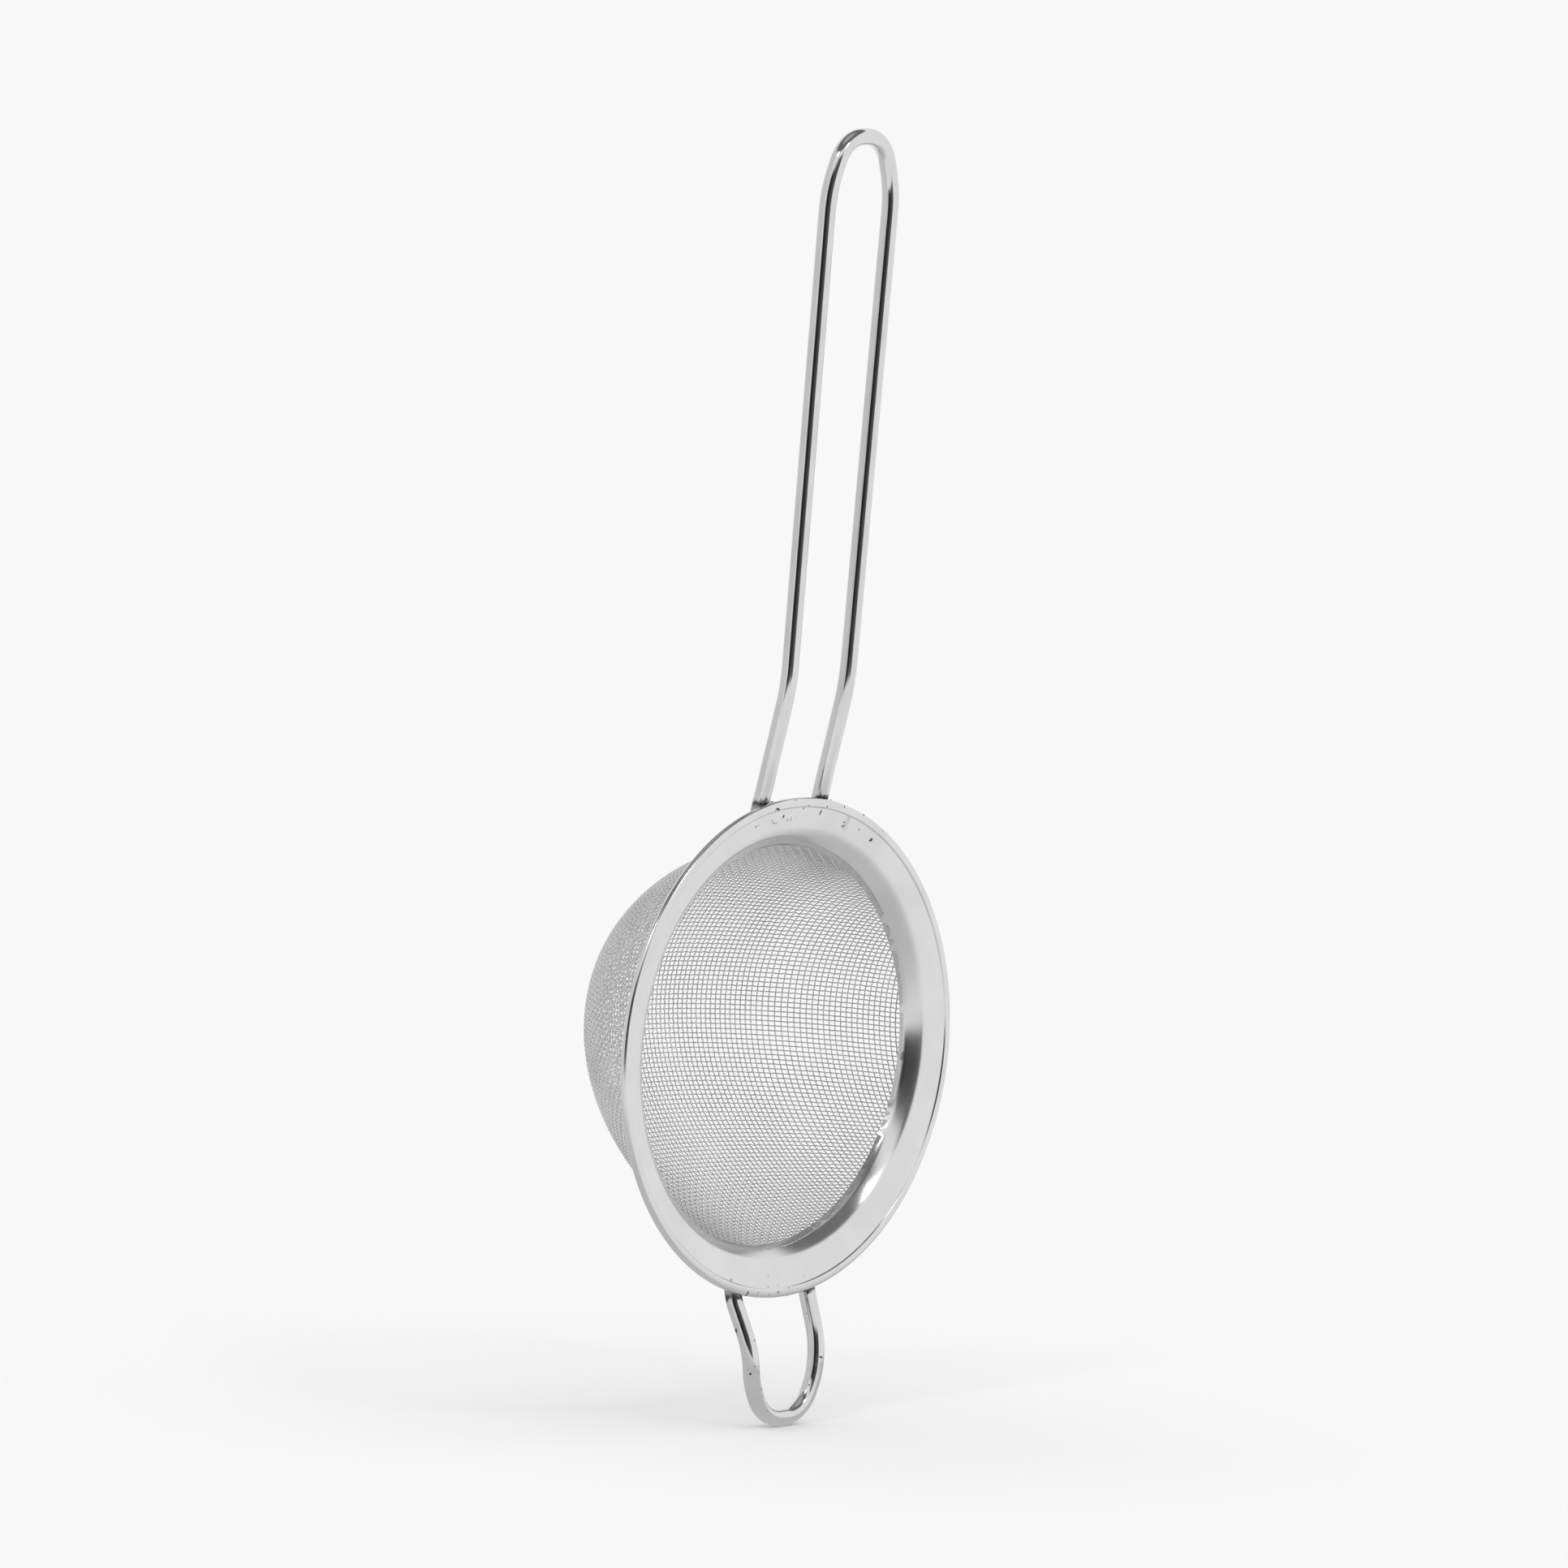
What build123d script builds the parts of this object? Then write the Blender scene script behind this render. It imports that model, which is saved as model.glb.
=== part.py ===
from build123d import *
import os
from math import asin, cos, pi, radians, sin, sqrt

# Tea strainer: a bowl of woven wire, its edge caught between a dished front ring and a back ring
# that are hemmed together, with a long bent wire for a handle and a short wire loop opposite it.
#
# The origin is the centre of the front ring's face. X runs across the strainer, Y into the bowl
# and Z up along the handle. All sizes are in millimetres.

# --- driving dimensions -----------------------------------------------------------------------

rim_diameter = 85.0             # over the hemmed edge
total_length = 220.0            # from the tip of the rest loop to the tip of the handle

sheet = 0.4                     # steel sheet of both rings
flange_width = 6.0              # hemmed edge to the mouth of the bowl
crest_width = 0.3               # flat top of the edge, on which the strainer stands mouth down
dish_slope = 0.25               # fall of the flange from its crest to the mouth, for each mm of radius
hem_width = 2.2                 # how far the folded edge reaches over the back ring
fold_clearance = 0.05           # between the sheets inside the hem
fold_flat = 0.7                 # flat outside of the pressed fold, between its two bevels
collar_end_depth = 4.6          # lower edge of the front ring's collar
collar_taper = 2.5              # how far the collar narrows from the mouth to its lower edge
collar_land = 1.2               # height of the collar's steep lower part, which grips the wires
skirt_end_depth = 5.4           # lower edge of the back ring's skirt
skirt_corner_offset = 0.4       # the back ring turns down into its skirt this far outside the mouth

bowl_depth = 36.3               # front face to the bottom of the bowl
bowl_centre_depth = -12.0       # centre of the bowl's elliptical section, in front of the face
bowl_lean = 0.12                # how far the bowl leans towards the handle, for each mm of depth
mesh_pitch = 2.55               # one wire in three of a cloth with 0.85 between its wires
mesh_wire = 0.34                # square section with the steel of the three round wires it is drawn for
mesh_play = 0.2                 # between the two layers of wires
mesh_grip = 1.0                 # depth over which the wires are held between the two rings
mesh_clearance = 0.22           # between the wires and the two rings
mesh_runs = 8                   # straight runs that each mesh wire is bent into

rod_diameter = 2.9              # wire of the handle and of the rest loop
rod_tip_flat = 1.2              # straight run across each tip, between its two bends
rod_bend_turn = radians(15)     # turn from one straight run of a bend to the next
weld_sink = 0.2                 # how far a rod is pressed into the ring at its weld
weld_length = 4.6               # length of rod behind the flange

handle_width_at_rim = 15.2      # between the centres of the two legs
handle_width_at_tip = 16.6
handle_bend_reach = 19.5        # the bend's distance beyond the edge of the rim
handle_tip_forward = 7.8        # the rod's centre at the tip, in front of the face
handle_bend_radius = 40.0

loop_reach = 21.7               # tip of the rest loop beyond the edge of the rim
loop_width_at_rim = 19.0
loop_width_at_bend = 17.4
loop_width_at_tip = 16.0
loop_kick_length = 0.4          # from the edge of the rim to where the loop turns up
loop_kick_radius = 5.0
loop_bend_reach = 8.2
loop_bend_forward = 1.3
loop_tip_forward = 1.3
loop_bend_radius = 12.0

# --- sizes worked out from them ---------------------------------------------------------------

rim_radius = rim_diameter / 2
rod_radius = rod_diameter / 2
hem_thickness = 3 * sheet + 2 * fold_clearance
fold_centre = rim_radius - hem_thickness / 2
crest_radius = fold_centre - crest_width        # inner edge of the flat crest
mouth_radius = rim_radius - flange_width
collar_end_radius = mouth_radius - collar_taper         # inside the collar
skirt_corner_radius = mouth_radius + skirt_corner_offset
mesh_layer = (mesh_wire + mesh_play) / 2        # each layer's distance from the bowl's middle surface
mesh_half = mesh_layer + mesh_wire / sqrt(2) + mesh_clearance
pinch_radius = collar_end_radius + sheet + mesh_half

land_depth = collar_end_depth - collar_land
bowl_half_depth = bowl_depth - bowl_centre_depth
pinch_height = (collar_end_depth - bowl_centre_depth) / bowl_half_depth
bowl_half_width = pinch_radius / sqrt(1 - pinch_height ** 2)
lean_depth = (collar_end_depth - mesh_grip + skirt_end_depth) / 2      # where the lean begins


def flange_depth(radius):
    """Depth of the flange's front surface inside its flat crest."""
    return dish_slope * (crest_radius - radius)


def seam_depth(radius):
    """Depth of the flange's back surface, which the back ring's edge lies against in the hem."""
    return dish_slope * (fold_centre - radius) + sheet


def back_depth(radius):
    """Depth of the rim's back surface, which the hem and the back ring share."""
    return seam_depth(radius) - sheet + hem_thickness


def bowl_radius(depth):
    """Radius of the middle surface of the woven bowl."""
    height = (depth - bowl_centre_depth) / bowl_half_depth
    return bowl_half_width * sqrt(1 - height ** 2)


def grip_radius(depth, side):
    """Radius of the surface that grips the woven wires, from inside (-1) or from outside (1)."""
    return bowl_radius(depth) + side * mesh_half


def ring(section):
    """A ring turned from a section drawn with radius along X and depth along Y."""
    return revolve(section, Axis.Y, 360)


# --- front ring -------------------------------------------------------------------------------

def front_ring():
    """Dished flange with its outer edge folded back over itself and a collar into the bowl."""
    hem_end = rim_radius - hem_width
    land_radius = grip_radius(land_depth, -1)
    outline = [
        (crest_radius, 0),
        (mouth_radius, flange_depth(mouth_radius)),
        (land_radius - sheet, land_depth),
        (collar_end_radius, collar_end_depth),
        (collar_end_radius + sheet, collar_end_depth),
        (land_radius, land_depth),
        (mouth_radius + sheet, seam_depth(mouth_radius + sheet)),
        (fold_centre, sheet),
        (fold_centre, hem_thickness - sheet),
        (hem_end, back_depth(hem_end) - sheet),
        (hem_end, back_depth(hem_end)),
        (fold_centre, hem_thickness),
        (rim_radius, (hem_thickness + fold_flat) / 2),
        (rim_radius, (hem_thickness - fold_flat) / 2),
        (fold_centre, 0),
    ]
    return ring(make_face(Polyline(*outline, close=True)))


# --- back ring --------------------------------------------------------------------------------

def back_ring():
    """Washer caught in the hem, set down flush with it, with a skirt around the woven bowl."""
    edge = fold_centre - fold_clearance
    joggle_out = rim_radius - hem_width - fold_clearance
    joggle_in = joggle_out - sheet
    washer = [
        (edge, seam_depth(edge) + fold_clearance),
        (joggle_out, seam_depth(joggle_out) + fold_clearance),
        (joggle_in, back_depth(joggle_in) - sheet),
        (skirt_corner_radius, back_depth(skirt_corner_radius) - sheet),
    ]
    skirt = [(grip_radius(depth, 1), depth) for depth in (land_depth, skirt_end_depth)]
    corner = (skirt_corner_radius + sheet, back_depth(skirt_corner_radius + sheet))
    outside = [*((radius, depth + sheet) for radius, depth in washer[:-1]), corner]
    outside += [(radius + sheet, depth) for radius, depth in skirt]
    return ring(make_face(Polyline(*washer, *skirt, *reversed(outside), close=True)))


# --- woven bowl -------------------------------------------------------------------------------

def mesh_wire_outline(station, outer_layer):
    """Corners of one mesh wire, across and down, as a band of straight runs around an ellipse."""
    shift = mesh_layer if outer_layer else -mesh_layer
    width, depth = bowl_half_width + shift, bowl_half_depth + shift
    slimmer = sqrt(1 - (station / width) ** 2)
    width, depth = width * slimmer, depth * slimmer
    start = asin((collar_end_depth - mesh_grip - bowl_centre_depth) / depth)
    turn = (pi - 2 * start) / mesh_runs
    if outer_layer:             # runs that touch the ellipse from outside at their middles
        angles = [start, *(start + (i + 0.5) * turn for i in range(mesh_runs)), pi - start]
        reach = [1, *(1 / cos(turn / 2) for _ in range(mesh_runs)), 1]
    else:                       # runs whose ends lie on the ellipse
        angles = [start + i * turn for i in range(mesh_runs + 1)]
        reach = [1 for _ in angles]

    def edge(inset):
        return [
            ((width + inset) * cos(a) * r, bowl_centre_depth + (depth + inset) * sin(a) * r)
            for a, r in zip(angles, reach)
        ]

    return [*edge(mesh_wire / 2), *reversed(edge(-mesh_wire / 2))]


def mesh_stations():
    """Places of the drawn wires to each side of the middle one."""
    limit = bowl_radius(collar_end_depth) - mesh_pitch / 2
    count = int(limit / mesh_pitch)
    return [i * mesh_pitch for i in range(-count, count + 1)]


def mesh_wires(outer_layer):
    """The wires of one direction: warp along the handle inside, weft across it outside."""
    wires = []
    for station in mesh_stations():
        corners = []
        for across, depth in mesh_wire_outline(station, outer_layer):
            lean = bowl_lean * (depth - lean_depth)
            if outer_layer:
                corners.append((across, depth, station + lean))
            else:
                corners.append((station, depth, across + lean))
        face = make_face(Polyline(*corners, close=True))
        side = (0, 0, 1) if outer_layer else (1, 0, 0)
        wires.append(extrude(face, amount=mesh_wire / 2, dir=side, both=True).solid())
    return Compound(children=wires)


# --- handle and rest loop ---------------------------------------------------------------------

def welded_point(width, reach):
    """Centre of a rod against the back of the flange, at a distance beyond the edge of the rim."""
    half = width / 2
    height = sqrt((rim_radius - weld_length) ** 2 - half ** 2)
    depth = back_depth(rim_radius - weld_length) - weld_sink + rod_radius * sqrt(1 + dish_slope ** 2)
    outward = rim_radius + reach - height
    return half, depth - dish_slope * outward, height + outward


def straight_runs(path):
    """The path with each of its arcs broken into straight runs that turn a little from one to the next."""
    corners = []
    for edge in path.edges():
        turn = edge.length / edge.radius if edge.geom_type == GeomType.CIRCLE else 0
        runs = max(1, round(turn / rod_bend_turn))
        corners += [edge @ (i / runs) for i in range(runs)]
    return Polyline(*corners, path @ 1)


def rod(points, radii, direction):
    """Round wire bent through points on one side and back through their mirror images."""
    side = [(x, y, z * direction) for x, y, z in points]
    other = [(-x, y, z) for x, y, z in reversed(side)]
    path = straight_runs(FilletPolyline(*side, *other, radius=[*radii, *reversed(radii)]))
    start = Plane(origin=path @ 0, z_dir=path % 0)
    return sweep(start * Circle(rod_radius), path=path, transition=Transition.RIGHT)


def handle_rod():
    """Long handle: both ends of one rod are welded behind the flange, on its slope."""
    tip = rim_radius + total_length - rim_diameter - loop_reach - rod_radius
    half = handle_width_at_tip / 2
    points = [
        welded_point(handle_width_at_rim, -weld_length),
        welded_point(handle_width_at_rim, handle_bend_reach),
        (half, -handle_tip_forward, tip),
    ]
    return rod(points, [handle_bend_radius, half - rod_tip_flat / 2], 1)


def rest_loop_rod():
    """Short loop opposite the handle, which rests on the far side of a cup."""
    tip = rim_radius + loop_reach - rod_radius
    half = loop_width_at_tip / 2
    points = [
        welded_point(loop_width_at_rim, -weld_length),
        welded_point(loop_width_at_rim, loop_kick_length),
        (loop_width_at_bend / 2, -loop_bend_forward, rim_radius + loop_bend_reach),
        (half, -loop_tip_forward, tip),
    ]
    return rod(points, [loop_kick_radius, loop_bend_radius, half - rod_tip_flat / 2], -1)


# --- parts ------------------------------------------------------------------------------------

rim = front_ring()
clamp = back_ring()
parts = {
    "front_ring": rim,
    "back_ring": clamp,
    "warp_wires": mesh_wires(outer_layer=False),
    "weft_wires": mesh_wires(outer_layer=True),
    "handle": handle_rod() - rim - clamp,
    "rest_loop": rest_loop_rod() - rim - clamp,
}

os.makedirs("parts", exist_ok=True)
for name, shape in parts.items():
    shape.label = name
    export_step(shape, f"parts/{name}.step")
    print(f"{name:12s} {len(shape.solids()):3d} solids {shape.volume:10.2f} mm3")
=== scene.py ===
# %% [markdown]
# # A tea strainer
#
# The strainer is a bowl of woven wire in a pressed steel rim, with a long bent wire for a handle
# and a short wire loop that rests on the far side of a cup. Its construction is already settled in
# CAD. Here each piece is modelled again at the same size and place, with the finish of the real
# one: a rounded fold on the rim, a cloth that truly weaves, and steel that catches the light.
#
# The CAD model is loaded first, because every size below is measured from it or agrees with it.

# %% The frame
from math import cos, pi, radians, sin, sqrt, tan, tau

import bpy
import numpy as np
from mathutils import Matrix, Vector


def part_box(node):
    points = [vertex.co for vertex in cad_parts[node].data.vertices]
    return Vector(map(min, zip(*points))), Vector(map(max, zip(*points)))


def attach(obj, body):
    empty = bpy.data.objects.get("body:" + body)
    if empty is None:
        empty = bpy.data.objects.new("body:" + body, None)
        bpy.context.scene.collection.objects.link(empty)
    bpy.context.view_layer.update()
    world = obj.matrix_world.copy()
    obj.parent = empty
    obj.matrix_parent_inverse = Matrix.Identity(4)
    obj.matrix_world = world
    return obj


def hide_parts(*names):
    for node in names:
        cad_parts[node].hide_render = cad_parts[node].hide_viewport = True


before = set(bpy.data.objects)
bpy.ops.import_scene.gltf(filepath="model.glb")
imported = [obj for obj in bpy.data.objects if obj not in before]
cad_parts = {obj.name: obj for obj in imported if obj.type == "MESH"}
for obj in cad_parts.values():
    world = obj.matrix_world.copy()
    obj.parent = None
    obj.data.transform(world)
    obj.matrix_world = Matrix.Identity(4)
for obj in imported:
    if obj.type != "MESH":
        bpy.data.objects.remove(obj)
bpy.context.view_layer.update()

# %% [markdown]
# ## Sizes
#
# Blender works in metres and a strainer in millimetres, so `mm` turns one into the other. The
# origin is the centre of the rim's face. X runs across, Y goes down into the bowl and Z runs up
# along the handle. Reach, width and depth come from the boxes of the CAD pieces. Only what a box
# can't say is written as a number.

# %% Sizes read from the frame
mm = 0.001
rim_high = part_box("front_ring")[1]
handle_low, handle_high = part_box("handle")
loop_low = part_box("rest_loop")[0]
rim_radius = rim_high.x
collar_end_depth = rim_high.y
skirt_end_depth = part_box("back_ring")[1].y
print(f"rim {2 * rim_radius / mm:.1f} mm across, collar {collar_end_depth / mm:.1f} mm deep")

# %% Sizes that no box gives
sheet = 0.4 * mm                # steel sheet of both rings
hem_thickness = 1.3 * mm        # three sheets, with a little room between them
flange_width = 6.0 * mm
dish_slope = 0.25               # fall of the flange towards the mouth
hem_width = 2.2 * mm
collar_end_radius = 34.0 * mm
collar_land = 1.2 * mm          # steep lower part of the collar
skirt_corner_offset = 0.4 * mm
cloth_room = 0.73 * mm          # half the space that the rings leave for the edge of the cloth
rod_radius = 1.45 * mm
land_offset = 0.62 * mm         # how much wider the collar is where its steep part begins
bead_width = 1.35 * mm          # proud edge of the flange, over the fold
bead_step = 0.2 * mm            # width of the step from the bead down to the flange
weld_sink = 0.2 * mm            # how far the rods are pressed into the rim

mouth_radius = rim_radius - flange_width
fold_centre = rim_radius - hem_thickness / 2


def back_depth(radius):
    """Depth of the rim's back surface, on its slope."""
    return dish_slope * (fold_centre - radius) + hem_thickness


# %% [markdown]
# ## Camera
#
# The strainer stands on the tip of its loop, turned half away, and is seen from far off through a
# long lens, so that its lines stay nearly parallel. The camera's place is worked out from the
# angle of view: `back` points from the object to the camera, and `right` and `up` span the picture.
# The camera rolls a little, which leans the handle to the right.

# %% The camera
camera_distance = 2.0
picture_width = 264.7 * mm      # width of the view at the object
azimuth, elevation, roll = radians(-49.8), radians(5.4), radians(-2.4)
origin_right, origin_up = 1.15 * mm, -44.6 * mm      # where the rim's centre lies in the picture

back = Vector((sin(azimuth) * cos(elevation), -cos(azimuth) * cos(elevation), sin(elevation)))
level = Vector((cos(azimuth), sin(azimuth), 0))
turn = Matrix.Rotation(-roll, 3, back)
right, up = turn @ level, turn @ back.cross(level)
bpy.ops.object.camera_add()
camera = bpy.context.object
camera.name = "camera"
camera.data.sensor_width = 36
camera.data.lens = camera.data.sensor_width * camera_distance / picture_width
camera.data.clip_end = 40
centre = -origin_right * right - origin_up * up
axes = Matrix((right, up, back)).transposed().to_4x4()
camera.matrix_world = Matrix.Translation(centre + camera_distance * back) @ axes
bpy.context.scene.camera = camera
print(f"lens {camera.data.lens:.0f} mm, camera at {tuple(round(c, 2) for c in camera.location)}")

# %% [markdown]
# ## A line drawn out, bent and extruded
#
# Both the rim and the rods are bent from one section: the rim from a strip of sheet, the rods from
# round wire. In edit mode that is always the same two moves. *Extrude* draws what is selected along
# a straight run, and *Spin* turns it about the centre of a bend. One helper does both for a list of
# corners, each with the radius that it is bent to.

# %% Drawing a section along straight runs and bends
def bare_scene():
    """Leaves nothing selected, so that the next operators touch only what they add."""
    if bpy.context.object and bpy.context.object.mode == "EDIT":
        bpy.ops.object.mode_set(mode="OBJECT")
    bpy.ops.object.select_all(action="DESELECT")


def draw_along(corners, radii, steps_per_turn=48):
    """Extrudes the selection from corner to corner, and spins it round a bend at each of them."""
    place = Vector(corners[0])
    corners = [Vector(corner) for corner in corners]
    for before, corner, after, radius in zip(corners, corners[1:], corners[2:], radii):
        arriving, leaving = (corner - before).normalized(), (after - corner).normalized()
        angle = arriving.angle(leaving)
        axis = arriving.cross(leaving).normalized()
        short = radius * tan(angle / 2)
        bpy.ops.mesh.extrude_region_move(
            TRANSFORM_OT_translate={"value": corner - arriving * short - place})
        middle = corner - arriving * short + axis.cross(arriving) * radius
        steps = max(2, round(steps_per_turn * angle / tau))
        bpy.ops.mesh.spin(steps=steps, angle=-angle, center=middle, axis=axis)
        place = corner + leaving * short
    bpy.ops.mesh.extrude_region_move(TRANSFORM_OT_translate={"value": corners[-1] - place})


# %% [markdown]
# ## The rim
#
# The rim is pressed from two rings of sheet. The front one has a dished flange, a collar that goes
# down into the mouth, and an outer edge folded over the second ring, which holds the cloth. Over
# the fold the flange keeps a narrow proud bead. A sheet is modelled as a surface without
# thickness, and the Solidify modifier then gives it its wall. The surface is one vertex drawn along
# the section and then spun right round.

# %% A ring of sheet from the middle line of its section
RING_STEPS = 288
edge_bevel = 0.08 * mm          # softened edge of cut sheet


def sheet_ring(name, corners, radii):
    """A closed ring of sheet. Corners are (radius, depth) on the middle of the sheet."""
    bare_scene()
    section = [(radius, depth, 0) for radius, depth in corners]
    bpy.ops.mesh.primitive_plane_add(size=mm)
    ring = bpy.context.object
    ring.name = name
    bpy.ops.object.mode_set(mode="EDIT")
    bpy.ops.mesh.merge(type="CENTER")
    bpy.ops.transform.translate(value=section[0])
    draw_along(section, radii)
    bpy.ops.mesh.select_all(action="SELECT")
    bpy.ops.mesh.spin(steps=RING_STEPS, angle=tau, center=(0, 0, 0), axis=(0, 1, 0))
    bpy.ops.mesh.select_all(action="SELECT")
    bpy.ops.mesh.remove_doubles(threshold=0.001 * mm)
    bpy.ops.object.mode_set(mode="OBJECT")
    wall = ring.modifiers.new("wall", "SOLIDIFY")
    wall.thickness, wall.offset = sheet, 0
    wall.use_even_offset = True
    bpy.ops.object.modifier_apply(modifier="wall")
    edge = ring.modifiers.new("edge", "BEVEL")
    edge.width, edge.segments, edge.angle_limit = edge_bevel, 2, radians(50)
    bpy.ops.object.modifier_apply(modifier="edge")
    bpy.ops.object.shade_smooth_by_angle(angle=radians(40))
    print(name, len(ring.data.polygons), "faces")
    return ring


# %% The front ring
land_bend, mouth_bend, step_bend = 1.2 * mm, 3.5 * mm, 0.15 * mm
fold_bend, hem_bend = 0.44 * mm, 0.6 * mm
hem_bend_offset = 0.1 * mm      # from the middle of the fold to the bend in the hem
half = sheet / 2
slope_rise = dish_slope * (fold_centre - mouth_radius)
land_depth = collar_end_depth - collar_land
land_radius = collar_end_radius + land_offset
hem_end = rim_radius - hem_width
bead_radius = rim_radius - bead_width
step_radius = bead_radius - bead_step
pressed_rim = sheet_ring("pressed_rim", [
    (collar_end_radius + half, collar_end_depth),
    (land_radius + half, land_depth),
    (mouth_radius + half, slope_rise + half),
    (step_radius, half + dish_slope * (fold_centre - step_radius)),
    (bead_radius, half),
    (rim_radius - half, half),
    (rim_radius - half, hem_thickness - half),
    (fold_centre - hem_bend_offset, hem_thickness - half),
    (hem_end, back_depth(hem_end) - half),
], [land_bend, mouth_bend, step_bend, step_bend, fold_bend, fold_bend, hem_bend])

# %% The back ring
joggle_bend, skirt_bend = 0.3 * mm, 1.2 * mm
joggle_play = 0.05 * mm         # room between the end of the hem and the joggle behind it
edge_play = 0.15 * mm           # room between the ring's edge and the middle of the fold
skirt_taper = 0.2 * mm
skirt_radius = collar_end_radius + sheet + 2 * cloth_room
skirt_corner = mouth_radius + skirt_corner_offset
joggle_out = hem_end - joggle_play
joggle_in = joggle_out - sheet
edge_radius = fold_centre - edge_play
clamp_ring = sheet_ring("clamp_ring", [
    (edge_radius, back_depth(edge_radius) - hem_thickness / 2),
    (joggle_out, back_depth(joggle_out) - hem_thickness / 2),
    (joggle_in, back_depth(joggle_in) - half),
    (skirt_corner + half, back_depth(skirt_corner) - half),
    (skirt_radius + land_offset + half, land_depth),
    (skirt_radius - skirt_taper + half, skirt_end_depth),
], [joggle_bend, joggle_bend, skirt_bend, skirt_bend])

# %% [markdown]
# ## The handle and the rest loop
#
# Each is one length of round wire, bent back on itself at its tip and welded to the back of the rim
# at both ends. Only one half is drawn, from the weld to the middle of the tip, and the Mirror
# modifier makes the other. The wire runs down the slope behind the rim, so its first run has the
# slope of the dish. Shortly before the tip the two legs close a little, at their shoulders.

# %% A rod, drawn from its weld to the middle of its tip and mirrored
ROD_SIDES = 32
end_bevel = 0.25 * mm           # softened end of a cut rod


def rod(name, corners, radii):
    """A round wire through corners on one side, whose last corner lies in the middle plane."""
    bare_scene()
    first, second = Vector(corners[0]), Vector(corners[1])
    facing = (second - first).to_track_quat("Z", "Y").to_euler()
    bpy.ops.mesh.primitive_circle_add(vertices=ROD_SIDES, radius=rod_radius)
    wire = bpy.context.object
    wire.name = name
    wire.rotation_euler = facing
    wire.location = first
    bpy.ops.object.transform_apply(location=True, rotation=True)
    bpy.ops.object.mode_set(mode="EDIT")
    bpy.ops.mesh.select_all(action="SELECT")
    draw_along(corners, radii, steps_per_turn=120)
    bpy.ops.mesh.select_all(action="DESELECT")
    bpy.ops.object.mode_set(mode="OBJECT")
    for vertex in wire.data.vertices:
        vertex.select = (vertex.co - first).length < 1.01 * rod_radius
    bpy.ops.object.mode_set(mode="EDIT")
    bpy.ops.mesh.edge_face_add()
    bpy.ops.mesh.bevel(offset=end_bevel, segments=3, affect="EDGES")
    bpy.ops.object.mode_set(mode="OBJECT")
    other = wire.modifiers.new("other half", "MIRROR")
    other.merge_threshold = 0.01 * mm
    bpy.ops.object.modifier_apply(modifier="other half")
    bpy.ops.object.mode_set(mode="EDIT")
    bpy.ops.mesh.select_all(action="SELECT")
    bpy.ops.mesh.normals_make_consistent(inside=False)
    bpy.ops.object.mode_set(mode="OBJECT")
    bpy.ops.object.shade_smooth_by_angle(angle=radians(40))
    print(name, len(wire.data.polygons), "faces")
    return wire


# %% Places on the two rods
weld_length = 4.6 * mm          # how far each end runs in over the back of the rim


def behind_rim(width, reach):
    """Place of a rod's centre against the back of the rim, at a distance beyond its edge."""
    half_width = width / 2
    height = sqrt((rim_radius - weld_length) ** 2 - half_width ** 2)
    off_rim = rod_radius * sqrt(1 + dish_slope ** 2) - weld_sink
    outward = rim_radius + reach - height
    depth = back_depth(rim_radius - weld_length) + off_rim - dish_slope * outward
    return half_width, depth, height + outward


def shoulder_of(corner, bend, distance):
    """The point of a leg at a distance from the corner of the tip that the leg aims at."""
    return corner.lerp(bend, distance / (corner - bend).length)


# %% The handle
handle_width_at_rim, handle_bend_reach = 15.2 * mm, 19.5 * mm
handle_shoulder_distance, handle_tip_half_width = 9.0 * mm, 4.8 * mm
handle_radii = [40 * mm, 20 * mm, 6.2 * mm]             # at the bend, the shoulder and the tip
handle_bend = Vector(behind_rim(handle_width_at_rim, handle_bend_reach))
handle_corner = Vector((handle_high.x, handle_low.y, handle_high.z))
handle_corner += rod_radius * Vector((-1, 1, -1))
handle_wire = rod("handle_wire", [
    behind_rim(handle_width_at_rim, -weld_length),
    handle_bend,
    shoulder_of(handle_corner, handle_bend, handle_shoulder_distance),
    (handle_tip_half_width, *handle_corner[1:]),
    (0, *handle_corner[1:]),
], handle_radii)

# %% The rest loop
loop_width_at_rim, loop_kick_length = 19.0 * mm, 0.4 * mm
loop_width_at_bend, loop_bend_reach, loop_bend_forward = 17.4 * mm, 8.2 * mm, 1.3 * mm
loop_corner_half_width, loop_tip_half_width = 7.5 * mm, 5.0 * mm
loop_shoulder_distance = 6.6 * mm
loop_radii = [5 * mm, 17 * mm, 12 * mm, 6.9 * mm]       # at the kick, bend, shoulder and tip
downward = Vector((1, 1, -1))
loop_bend = Vector((loop_width_at_bend / 2, -loop_bend_forward, -rim_radius - loop_bend_reach))
loop_corner = Vector((loop_corner_half_width, loop_low.y + rod_radius, loop_low.z + rod_radius))
loop_wire = rod("loop_wire", [
    Vector(behind_rim(loop_width_at_rim, -weld_length)) * downward,
    Vector(behind_rim(loop_width_at_rim, loop_kick_length)) * downward,
    loop_bend,
    shoulder_of(loop_corner, loop_bend, loop_shoulder_distance),
    (loop_tip_half_width, *loop_corner[1:]),
    (0, *loop_corner[1:]),
], loop_radii)

# %% [markdown]
# ## Beads at the welds
#
# Each end of a rod was pressed into the hot rim, and a little molten steel came out beside it and
# froze. Such a bead is a small ball, flattened against the rim, and no two are alike.

# %% Weld beads
BEADS = (-1, -1, 0.62), (-1, 1, 0.50), (1, -1, 0.55), (1, 1, 0.66)      # leg, side, radius in mm
BEAD_SHAPE = (1.0, 0.8, 1.3)
bead_gap, bead_sink = 0.05 * mm, 0.1 * mm       # off the side of the rod, and into the rim
bead_inset = 0.35                               # from the rim's edge to halfway into a bead, in mm


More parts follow.
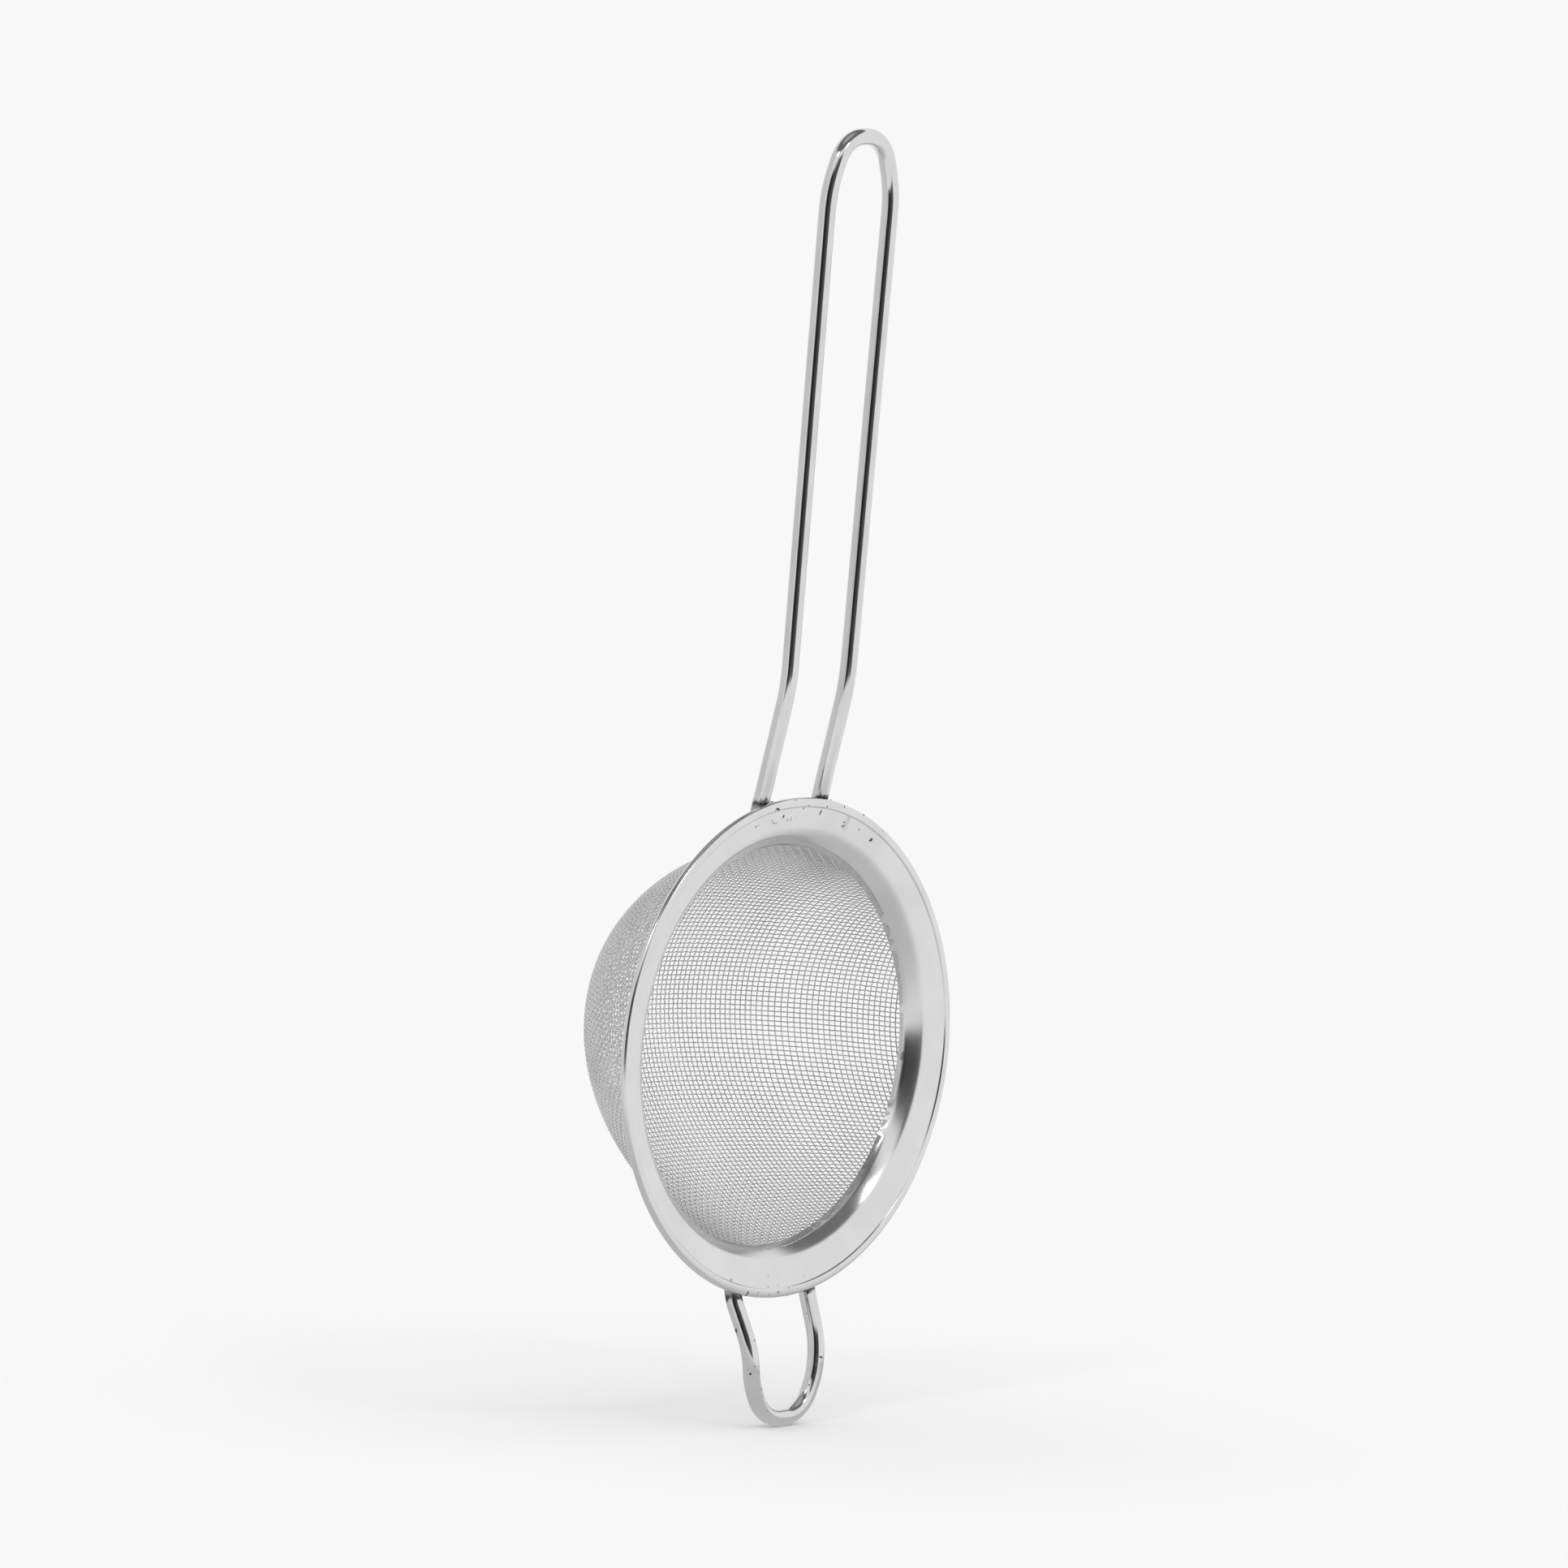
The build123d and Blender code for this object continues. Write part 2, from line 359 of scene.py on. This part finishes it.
def weld_beads(wire, width, up):
    """Joins two beads beside each end of a rod to the rod."""
    beads = []
    for leg, beside, size in BEADS:
        bare_scene()
        across = leg * width / 2 + beside * (rod_radius + bead_gap)
        reach = rim_radius - (bead_inset + 0.5 * size) * mm
        place = (across, back_depth(reach) - bead_sink, up * sqrt(reach ** 2 - across ** 2))
        bpy.ops.mesh.primitive_uv_sphere_add(segments=16, ring_count=8, radius=size * mm,
                                             location=place)
        beads.append(bpy.context.object)
        beads[-1].scale = BEAD_SHAPE
        bpy.ops.object.transform_apply(location=True, scale=True)
        bpy.ops.object.shade_smooth()
    for piece in [*beads, wire]:
        piece.select_set(True)
    bpy.context.view_layer.objects.active = wire
    bpy.ops.object.join()
    print(wire.name, "with its beads:", len(wire.data.polygons), "faces")


weld_beads(handle_wire, handle_width_at_rim, 1)
weld_beads(loop_wire, loop_width_at_rim, -1)

# %% [markdown]
# ## The woven bowl
#
# A flat piece of plain-woven cloth is pressed into a bowl in two ways at once. Its square meshes
# close into diamonds towards the corners, and its wires are drawn a little further apart where the
# wall of the bowl begins. So each crossing lies a known gap away from its neighbours along both
# wires. The net is worked out that way: the two middle wires are laid over the bowl first, and
# every other crossing is the point of the bowl that has the right gaps to the crossings before it.
# The bowl is the lower part of an ellipsoid that leans a little towards the handle. Every size of
# the cloth is in millimetres.

# %% The bowl's surface
cloth_reach = 70                # crossings to each side of the middle, more than the bowl holds
bowl_depth, bowl_centre_depth = 36.3, -12.0
bowl_lean, lean_depth = 0.12, 4.5       # sideways for each unit down, starting at a depth
grip_length = 1.0               # how far the cloth reaches up between the rings
cloth_edge_depth = collar_end_depth / mm - grip_length
bowl_half_depth = bowl_depth - bowl_centre_depth
pinch_radius = (collar_end_radius + sheet + cloth_room) / mm
pinch_height = (collar_end_depth / mm - bowl_centre_depth) / bowl_half_depth
bowl_half_width = pinch_radius / sqrt(1 - pinch_height ** 2)


def bowl_level(points):
    """Zero on the bowl and negative inside it, with its gradient, for points in millimetres."""
    x, y, z = np.moveaxis(points, -1, 0)
    across, down = x / bowl_half_width, (y - bowl_centre_depth) / bowl_half_depth
    along = (z - bowl_lean * (y - lean_depth)) / bowl_half_width
    slope = [across / bowl_half_width, down / bowl_half_depth - along * bowl_lean / bowl_half_width,
             along / bowl_half_width]
    return across ** 2 + down ** 2 + along ** 2 - 1, 2 * np.stack(slope, -1)


# %% The gaps between the wires, as they were woven and as they are drawn in the wall
def eased(start, end, values):
    """Rises smoothly from 0 at the start to 1 at the end."""
    share = np.clip((values - start) / (end - start), 0, 1)
    return share * share * (3 - 2 * share)


woven_gap, beaten_gap = 0.877, 0.838            # between two warp wires, and between two weft wires
warp_stretch, weft_stretch = 0.131, 0.058       # of the gaps in the wall
crown_stretch, crown_place, crown_width = 0.185, 27.3, 3.5      # widest where the wall begins
warp_wall, weft_wall = (22, 31), (14, 28)       # where the gaps widen, from the middle
from_middle = woven_gap * (np.arange(cloth_reach) + 0.5)
crown = np.exp(-((from_middle - crown_place) / crown_width) ** 2)
warp_gaps = 1 + warp_stretch * eased(*warp_wall, from_middle) + crown_stretch * crown
warp_gaps = woven_gap * warp_gaps
weft_gaps = beaten_gap * (1 + weft_stretch * eased(*weft_wall, from_middle))
print(f"gaps {woven_gap} x {beaten_gap} mm at the bottom, widest {warp_gaps.max():.2f} mm")


# %% The two middle wires
def spaced(line, gaps):
    """Crossings along a line, with the given gaps from its start."""
    length = np.r_[0, np.cumsum(np.linalg.norm(np.diff(line, axis=0), axis=1))]
    places = np.r_[0, np.cumsum(gaps)]
    return np.stack([np.interp(places, length, line[:, k]) for k in range(3)], -1)


weft_lean, weft_drop = 0.032, 3.4       # the middle weft lies a little low
angle = np.linspace(0, 0.6 * pi, 4000)
out, down = bowl_half_width * np.sin(angle), bowl_centre_depth + bowl_half_depth * np.cos(angle)
axis_height = bowl_lean * (down - lean_depth)
weft_height = weft_lean * (down - lean_depth) - weft_drop
half_chord = out ** 2 - (weft_height - axis_height) ** 2
on_bowl = half_chord >= 0
middle_weft = np.stack([np.sqrt(half_chord[on_bowl]), down[on_bowl], weft_height[on_bowl]], -1)
start = middle_weft[0] * (0, 1, 1)
middle_weft[0] = start
profile = np.concatenate([
    np.stack([0 * out, down, axis_height - out], -1)[::-1],
    np.stack([0 * out, down, axis_height + out], -1)])
nearest = np.linalg.norm(profile - start, axis=1).argmin()
middle_warp = {1: np.vstack([start, profile[nearest + 2:]]),
               -1: np.vstack([start, profile[:nearest - 1][::-1]])}
print(f"the middle wires cross {start[1]:.1f} mm deep, {-start[2]:.1f} mm below the rim's centre")


# %% Every crossing of the cloth
net_margin = 2                  # how far past the cloth's edge the net is still worked out


def cloth_net():
    """Crossings [i, j] of warp i and weft j, in millimetres, with both counted from the middle."""
    reach = cloth_reach
    net = np.full((2 * reach + 1, 2 * reach + 1, 3), np.nan)
    for side in (1, -1):
        net[reach, reach::side][:reach + 1] = spaced(middle_warp[side], weft_gaps)
        net[reach::side, reach][:reach + 1] = spaced(middle_weft, warp_gaps) * (side, 1, 1)
    for i in range(1, reach + 1):
        for j in (side * row for row in range(1, reach + 1) for side in (1, -1)):
            before = j - 1 if j > 0 else j + 1
            corner = net[reach + i - 1, reach + before]
            if not corner[1] > cloth_edge_depth - net_margin:       # also where it is unknown
                continue
            below, beside = net[reach + i, reach + before], net[reach + i - 1, reach + j]
            gaps = np.array([weft_gaps[abs(j) - 1], warp_gaps[i - 1]])
            point = below + beside - corner
            for _ in range(4):
                level, slope = bowl_level(point)
                away = point - np.array([below, beside])
                misses = [*((away ** 2).sum(1) - gaps ** 2), level]
                point = point - np.linalg.solve(np.vstack([2 * away, slope]), misses)
            net[reach + i, reach + j] = point
            net[reach - i, reach + j] = point * (-1, 1, 1)
    return net


net = cloth_net()
held = net[..., 1] >= cloth_edge_depth
assert not (held[0].any() or held[:, 0].any() or held[:, -1].any())
print("crossings in the bowl:", int(held.sum()), "on", int(held.any(1).sum()), "warp wires and",
      int(held.any(0).sum()), "weft wires")

# %% [markdown]
# ## Wires that pass over and under
#
# Each wire is a curve with a round section. It lies flat on the wire that it crosses, and in
# between it runs down to the other side of the cloth, so it has two points at each crossing. Warp
# and weft take opposite sides, and the side changes from one crossing to the next. The curves are
# turned into a mesh, as the last step of drawing wire this fine.

# %% Warp and weft
cloth_wire = 0.115              # radius of the wire
crimp = 0.115                   # how far a wire is pushed off the middle of the cloth
flat_share = 0.22               # part of the pitch, each way from a crossing, that lies flat
shortest_end = 0.05             # least part of the pitch that a wire runs past its last crossing


def wire_points(crossings, outward, inside, first_side):
    """Points of one wire, from edge to edge of the cloth, pushed off it in turn."""
    kept = np.flatnonzero(inside)
    start, end = kept[0], kept[-1]
    points = []
    for k in range(start, end + 1):
        push = outward[k] * crimp * (1 if (k + first_side) % 2 else -1)
        for step in (-1, 1):
            share = flat_share
            beyond = crossings[k + step]
            if not inside[k + step]:            # the wire ends where the rings grip the cloth
                drop = (crossings[k][1] - cloth_edge_depth) / (crossings[k][1] - beyond[1])
                share = min(max(drop, shortest_end), 1)
            points.append(crossings[k] + share * (beyond - crossings[k]) + push)
    return np.array(points)


def woven(name, crossings, inside, rows, other_side):
    """Some of the wires of one direction, each through its own row of crossings."""
    bare_scene()
    outward = bowl_level(crossings)[1]
    outward /= np.linalg.norm(outward, axis=-1, keepdims=True)
    drawing = bpy.data.curves.new(name, "CURVE")
    drawing.dimensions = "3D"
    drawing.bevel_depth, drawing.bevel_resolution = cloth_wire * mm, 1
    drawing.use_fill_caps = True
    for row in rows:
        if inside[row].sum() < 3:
            continue
        points = wire_points(crossings[row], outward[row], inside[row], row + other_side) * mm
        line = drawing.splines.new("POLY")
        line.points.add(len(points) - 1)
        line.points.foreach_set("co", np.c_[points, np.ones(len(points))].ravel())
    cloth = bpy.data.objects.new(name, drawing)
    bpy.context.collection.objects.link(cloth)
    cloth.select_set(True)
    bpy.context.view_layer.objects.active = cloth
    bpy.ops.object.convert(target="MESH")
    cloth = bpy.context.object
    bpy.ops.object.shade_smooth()
    print(name, len(drawing.splines), "wires,", len(cloth.data.polygons), "faces")
    return cloth


first_rows, last_rows = range(cloth_reach + 1), range(cloth_reach + 1, 2 * cloth_reach + 1)
across, crossed = net.transpose(1, 0, 2), held.T
warp_cloth = [woven("warp_left", net, held, first_rows, 0),
              woven("warp_right", net, held, last_rows, 0)]
weft_cloth = [woven("weft_lower", across, crossed, first_rows, 1),
              woven("weft_upper", across, crossed, last_rows, 1)]

# %% [markdown]
# ## Shader maths
#
# A finish is a small graph of shader nodes. `Signal` wraps the output of one node, so that a
# pattern can be written as an expression: each operator adds its Math node. `Graph.node` adds any
# other node from its type, its settings and the values or signals of its sockets. A `Finish` is
# the graph of one material, and measures the piece in millimetres from the centre of the rim.

# %% Signals and finishes
def plug(tree, socket, value):
    """Links a signal to a socket, or writes a plain value into it."""
    if isinstance(value, Signal):
        tree.links.new(value.socket, socket)
    else:
        socket.default_value = value


class Signal:
    """A shader node's output, which Python's operators can work on."""

    def __init__(self, graph, socket):
        self.graph, self.socket = graph, socket

    def maths(self, operation, *values):
        return self.graph.node("ShaderNodeMath", {"operation": operation}, dict(enumerate(values)))

    def __add__(self, other):
        return self.maths("ADD", self, other)

    def __sub__(self, other):
        return self.maths("SUBTRACT", self, other)

    def __rsub__(self, other):
        return self.maths("SUBTRACT", other, self)

    def __mul__(self, other):
        return self.maths("MULTIPLY", self, other)

    def __truediv__(self, other):
        return self.maths("DIVIDE", self, other)

    __radd__, __rmul__ = __add__, __mul__

    def above(self, start, end):
        """Rises smoothly from 0 at the start to 1 at the end."""
        return self.graph.node("ShaderNodeMapRange", {"interpolation_type": "SMOOTHSTEP"},
                               {0: self, 1: start, 2: end, 3: 0.0, 4: 1.0})

    def below(self, start, end):
        """Falls smoothly from 1 at the start to 0 at the end."""
        return 1 - self.above(start, end)

    def size(self):
        return self.maths("ABSOLUTE", self)


class Graph:
    """A tree of shader nodes, with a short way to add to it."""

    def __init__(self, tree):
        self.tree = tree

    def node(self, kind, settings, inputs, output=0):
        """Adds a node with its settings and inputs, and gives one of its outputs."""
        new = self.tree.nodes.new(kind)
        for name, value in settings.items():
            setattr(new, name, value)
        for name, value in inputs.items():
            plug(self.tree, new.inputs[name], value)
        return Signal(self, new.outputs[output])

    def along(self, direction, vector):
        """How far a vector reaches in a direction."""
        return self.node("ShaderNodeVectorMath", {"operation": "DOT_PRODUCT"},
                         {0: vector, 1: direction}, "Value")

    def length(self, vector):
        return self.node("ShaderNodeVectorMath", {"operation": "LENGTH"}, {0: vector}, "Value")

    def ray(self, kind):
        """1 for rays of one kind and 0 for all others."""
        return self.node("ShaderNodeLightPath", {}, {}, f"Is {kind} Ray")

    def blend(self, share, first, second):
        """A colour between two, by a share from 0 to 1."""
        first, second = (c if isinstance(c, Signal) else (*c, 1) for c in (first, second))
        return self.node("ShaderNodeMix", {"data_type": "RGBA"}, {0: share, 6: first, 7: second}, 2)


class Finish(Graph):
    """A material and its nodes."""

    def __init__(self, name):
        self.material = bpy.data.materials.new(name)
        self.material.use_nodes = True
        super().__init__(self.material.node_tree)
        self.shader = self.tree.nodes["Principled BSDF"]

    def place(self, scale=(1, 1, 1)):
        """Object coordinates in millimetres, stretched by a scale on each axis."""
        here = self.node("ShaderNodeTexCoord", {}, {}, "Object")
        stretch = tuple(factor / mm for factor in scale)
        return self.node("ShaderNodeMapping", {}, {"Vector": here, "Scale": stretch})

    def noise(self, place, scale, detail=2.0, roughness=0.5):
        """Noise from 0 to 1, with about so many lumps to the millimetre."""
        return self.node("ShaderNodeTexNoise", {}, {
            "Vector": place, "Scale": scale, "Detail": detail, "Roughness": roughness})

    def bumps(self, strength, distance, height):
        return self.node("ShaderNodeBump", {}, {
            "Strength": strength, "Distance": distance, "Height": height})

    def set(self, **sockets):
        """Fills sockets of the Principled shader and gives the finished material."""
        for name, value in sockets.items():
            plug(self.tree, self.shader.inputs[name.replace("_", " ")], value)
        return self.material


def steel_grey(value):
    """A grey with a trace of blue."""
    return (value, value, value * 1.005)


def neutral(value):
    return (value, value, value)


# %% [markdown]
# ## Steel, three ways
#
# Everything is stainless steel, but each piece was worked differently. The rim is rolled sheet,
# pressed and polished, so it has faint clouds and fine scratches. The rods are drawn through a die,
# which leaves lines along them. The wire of the cloth is so fine that only its brightness matters.
#
# Welding has left its marks. Small dark pits lie on the outer part of the flange, beside the handle
# and the loop, and the loop has a few dark spots. Where the rods meet the rim, shade is painted on
# them: grey, and black at the very edge of the weld.

# %% The finish of the rim
def rim_steel():
    finish = Finish("rim_steel")
    place = finish.place()
    clouds = finish.noise(place, 0.09, 3)
    scratches = finish.noise(finish.place((1, 1, 9)), 1.1, 4, 0.6)
    # The pits lie in two patches of the outer flange, one at the handle and one at the loop.
    side, height = finish.along((1, 0, 0), place), finish.along((0, 0, 1), place)
    by_handle = height.above(31, 34) * side.above(-13, -10) * side.below(21, 26)
    by_loop = height.below(-38, -36) * side.above(-14, -11) * side.below(3, 8)
    outer_part = finish.length(finish.place((1, 0, 1))).above(38.4, 39.4)
    pits = finish.noise(place, 0.75, 2).above(0.655, 0.685) * outer_part
    pits = pits * (by_handle + by_loop * 0.8)
    colour = finish.blend(clouds.above(0.3, 0.7), steel_grey(0.71), steel_grey(0.77))
    colour = finish.blend(pits, colour, steel_grey(0.07))
    rough = 0.16 + clouds.above(0.35, 0.7) * 0.05 + scratches.above(0.45, 0.8) * 0.05
    return finish.set(Metallic=1.0, Base_Color=colour, Roughness=rough + pits * 0.3,
                      Normal=finish.bumps(0.12, 0.02 * mm, scratches - pits))


# %% The finish of the rods
def rod_steel():
    finish = Finish("rod_steel")
    place = finish.place()
    clouds = finish.noise(place, 0.12, 2)
    drawn = finish.noise(finish.place((4, 4, 0.12)), 1.0, 3, 0.6)
    # Shade is painted where the rod meets the rim: grey that ends raggedly at the rim's edge,
    # and black, a painted shadow, in its outermost part.
    height = finish.along((0, 0, 1), place)
    from_middle = height.size()
    weld_zone_and_shade = (from_middle + finish.noise(place, 0.7, 3) * 2.4).below(43.0, 43.9)
    junction_shade = weld_zone_and_shade * from_middle.above(40.9, 42.0)
    spots = finish.noise(place, 0.8, 1).above(0.71, 0.74) * height.below(-46, -44)
    colour = finish.blend(clouds.above(0.3, 0.7), steel_grey(0.68), steel_grey(0.74))
    colour = finish.blend(weld_zone_and_shade, colour, steel_grey(0.44))
    # Black for the painted shadow at the rim's edge, and for the loop's dark spots.
    colour = finish.blend(junction_shade + spots, colour, steel_grey(0.06))
    rough = 0.10 + drawn.above(0.4, 0.8) * 0.07 + weld_zone_and_shade * 0.25
    return finish.set(Metallic=1.0, Base_Color=colour, Roughness=rough,
                      Normal=finish.bumps(0.10, 0.01 * mm, drawn))


# %% The finish of the cloth
def cloth_steel():
    finish = Finish("cloth_steel")
    clouds = finish.noise(finish.place(), 0.15, 3).above(0.3, 0.7)
    colour = finish.blend(clouds, steel_grey(0.72), steel_grey(0.80))
    return finish.set(Metallic=1.0, Base_Color=colour, Roughness=0.26 + clouds * 0.06)


# %% Each piece takes its finish, its place in the assembly and its CAD node
def dress(piece, finish, slot, *nodes):
    """Gives a piece its material and its place under the root, and hides the CAD nodes it stands
    for.
    """
    piece.data.materials.clear()
    piece.data.materials.append(finish)
    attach(piece, "root")
    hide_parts(*nodes)


ring_finish, wire_finish, cloth_finish = rim_steel(), rod_steel(), cloth_steel()
dress(pressed_rim, ring_finish, "ring_steel", "front_ring")
dress(clamp_ring, ring_finish, "ring_steel", "back_ring")
dress(handle_wire, wire_finish, "rod_steel", "handle")
dress(loop_wire, wire_finish, "rod_steel", "rest_loop")
for cloth in warp_cloth:
    dress(cloth, cloth_finish, "mesh_steel", "warp_wires")
for cloth in weft_cloth:
    dress(cloth, cloth_finish, "mesh_steel", "weft_wires")

# %% [markdown]
# ## The studio
#
# Polished steel has hardly a colour of its own: it shows the room. So the room is drawn with care.
# It is white all round, and these things in it are not: the end where the camera stands is dark,
# the ceiling is dim, and the left side is a light grey. The dark end draws the dark line down each
# rod and the dark crescent in the collar. Two lamps below the ceiling give the highlights.
#
# The strainer stands on a white table. The same function paints the world, by the direction of a
# ray, and the floor, by its direction from the rim. On the floor the dark end begins only at the
# table's edge, a fixed distance away, so that the collar, the handle and the loop each see it at
# their own height. Close to the loop, the steel sees the floor a little darker: a painted shadow of
# the strainer, which only the reflections show.
#
# The camera sees none of this. For it, the world and the far floor have the plain pale colour, by
# way of *Is Camera Ray*. Only the near floor is real to it, with the strainer's shadow.

# %% What the steel sees in each direction
white = neutral(0.939)
ahead = Vector((back.x, back.y, 0)).normalized()        # level, from the strainer to the camera
beside = Vector((right.x, right.y, 0)).normalized()
straight_up = Vector((0, 0, 1))


def room(graph, direction, beyond_table=1.0):
    """The colour of the room in a direction, for a graph of shader nodes."""
    height = graph.along(straight_up, direction)
    forward, sideways = graph.along(ahead, direction), graph.along(beside, direction)
    # The tangent of the angle to the camera's side, as seen from above. It grows to the right.
    swing = sideways / forward.maths("MAXIMUM", forward, 0.01)
    dark_end = swing.above(-0.70, -0.40) * swing.below(0.82, 0.92)
    dark_end = dark_end * forward.above(0.0, 0.1) * height.below(0.38, 0.52) * beyond_table
    darkness = graph.blend(swing.above(-0.30, 0.90), neutral(0.015), neutral(0.13))
    left_side, ceiling, overhead = neutral(0.72), neutral(0.16), neutral(0.45)
    colour = graph.blend(sideways.below(-0.80, -0.50), white, left_side)
    colour = graph.blend(height.above(0.66, 0.76), colour, ceiling)
    colour = graph.blend(height.above(0.90, 0.98), colour, overhead)
    return graph.blend(dark_end, colour, darkness)


# %% The world
soft_light = neutral(0.96)      # what lights the floor and everything that isn't polished
world = bpy.data.worlds.new("studio")
bpy.context.scene.world = world
world.use_nodes = True
studio = Graph(world.node_tree)
facing = studio.node("ShaderNodeTexCoord", {}, {}, "Generated")
seen = studio.blend(studio.ray("Glossy"), soft_light, room(studio, facing))
plug(world.node_tree, world.node_tree.nodes["Background"].inputs["Color"],
     studio.blend(studio.ray("Camera"), seen, white))

# %% The floor
table_edge, painted_shadow_reach, real_floor = (0.43, 0.47), (0.06, 0.24), (0.08, 0.30)   # metres away
floor_place = (0, 0, loop_low.z)
bpy.ops.mesh.primitive_plane_add(size=40, location=floor_place)
floor = bpy.context.object
floor.name = "floor"
paper = Finish("paper")
spot = paper.node("ShaderNodeTexCoord", {}, {}, "Object")
from_rim = paper.node("ShaderNodeVectorMath", {"operation": "ADD"}, {0: spot, 1: floor_place})
facing = paper.node("ShaderNodeVectorMath", {"operation": "NORMALIZE"}, {0: from_rim})
away = paper.length(spot)
mirrored = room(paper, facing, away.above(*table_edge))
# Near the strainer the floor in the reflections is painted grey, as the strainer's shadow.
mirrored = paper.blend(away.below(*painted_shadow_reach), mirrored, neutral(0.62))
for_steel = paper.ray("Glossy")
far_colour = paper.blend(for_steel, white, mirrored)
glow = paper.node("ShaderNodeEmission", {}, {"Color": far_colour, "Strength": 1.0})
paper.set(Base_Color=(*neutral(0.93), 1), Roughness=0.9, Specular_IOR_Level=0.0)
lit = Signal(paper, paper.shader.outputs[0])
painted = paper.ray("Camera") * away.above(*real_floor) + for_steel
both = paper.node("ShaderNodeMixShader", {}, {0: painted, 1: lit, 2: glow})
paper.tree.links.new(both.socket, paper.tree.nodes["Material Output"].inputs["Surface"])
floor.data.materials.append(paper.material)
print(f"floor {-loop_low.z / mm:.1f} mm below the rim's centre")


# %% The lamps
def softbox(name, swing, rise, distance, size, power):
    """A square lamp, turned by so many degrees from the camera and raised by so many."""
    swing, rise = radians(swing), radians(rise)
    level = cos(swing) * ahead + sin(swing) * beside
    toward = cos(rise) * level + sin(rise) * straight_up
    bpy.ops.object.light_add(type="AREA", location=toward * distance)
    lamp = bpy.context.object
    lamp.name = name
    lamp.data.size, lamp.data.energy = size, power
    lamp.rotation_euler = lamp.location.to_track_quat("Z", "Y").to_euler()
    print(f"{name}: {power} W from {distance} m")


softbox("lamp_left", -30, 47, distance=1.4, size=0.20, power=0.9)
softbox("lamp_right", 47, 45, distance=1.4, size=0.20, power=0.9)

# %% The finished box, and the end
bpy.context.scene.view_settings.view_transform = "Standard"
